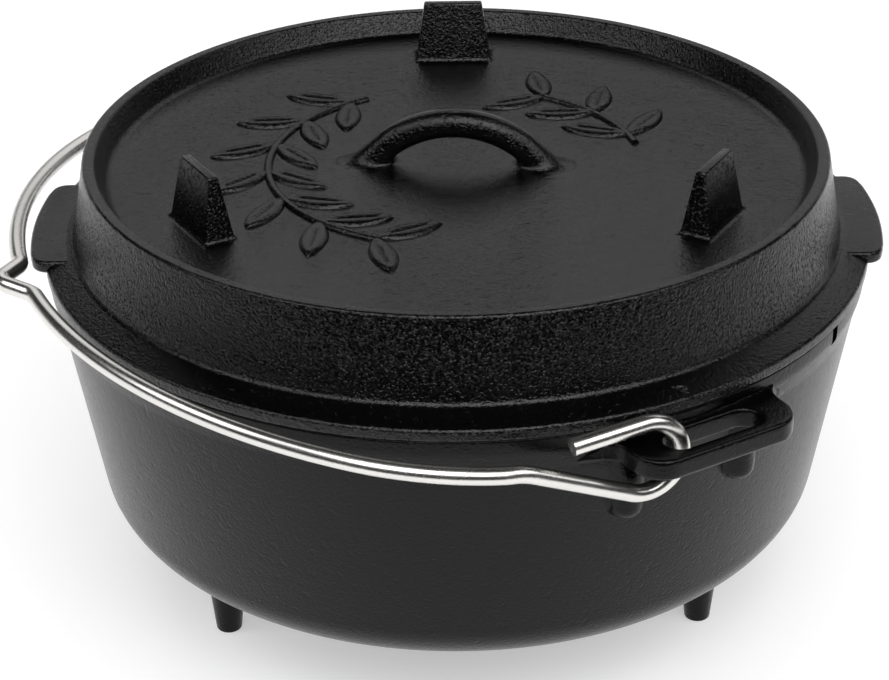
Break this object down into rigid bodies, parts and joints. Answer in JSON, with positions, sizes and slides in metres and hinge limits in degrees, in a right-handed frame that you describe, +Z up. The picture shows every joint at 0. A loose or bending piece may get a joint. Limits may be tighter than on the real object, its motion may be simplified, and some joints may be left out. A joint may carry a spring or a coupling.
{
  "type": "camp oven",
  "caption": "Round cast iron pot on short feet, with a flanged lid that carries legs and a loop handle, and a wire bail hooked into slotted ears, for cooking over coals.",
  "frame": {"origin": "on the pot axis at floor level, in the plane of the foot ends", "axes": "+Z up, +X through one slotted ear, +Y to its left seen from outside; the bail is folded towards -Y"},
  "size_m": [0.3344, 0.3165, 0.189],
  "materials": {
    "pot_iron": "satin black, fine cast grain",
    "lid_iron": "satin black, fine cast grain",
    "bail_steel": "polished wire"
  },
  "bodies": {
    "pot": {"pot_shell": "pot_iron", "pot_rim": "pot_iron", "pot_ear_front": "pot_iron", "pot_ear_rear": "pot_iron", "pot_lug_front_left": "pot_iron", "pot_lug_front_right": "pot_iron", "pot_lug_rear_left": "pot_iron", "pot_lug_rear_right": "pot_iron", "pot_foot_a": "pot_iron", "pot_foot_b": "pot_iron", "pot_foot_c": "pot_iron"},
    "lid": {"lid_shell": "lid_iron", "lid_leg_a": "lid_iron", "lid_leg_b": "lid_iron", "lid_leg_c": "lid_iron", "lid_loop": "lid_iron", "lid_tab_right": "lid_iron", "lid_tab_left": "lid_iron", "lid_relief_wreath": "lid_iron", "lid_relief_sprig": "lid_iron"},
    "bail": {"bail_grip": "bail_steel", "bail_bow_front": "bail_steel", "bail_bow_rear": "bail_steel", "bail_arm_front": "bail_steel", "bail_arm_rear": "bail_steel", "bail_hook_front": "bail_steel", "bail_hook_rear": "bail_steel"}
  },
  "joints": [
    {"name": "lid_lift", "type": "slide", "parent": "pot", "child": "lid", "axis": [0, 0, 1], "range_m": [0, 0.15]},
    {"name": "bail_swing", "type": "hinge", "parent": "pot", "child": "bail", "pos_m": [0.1536, -0.0241, 0.127], "axis": [-0.9878, 0.155, 0.0135], "range_deg": [0, 162]}
  ]
}
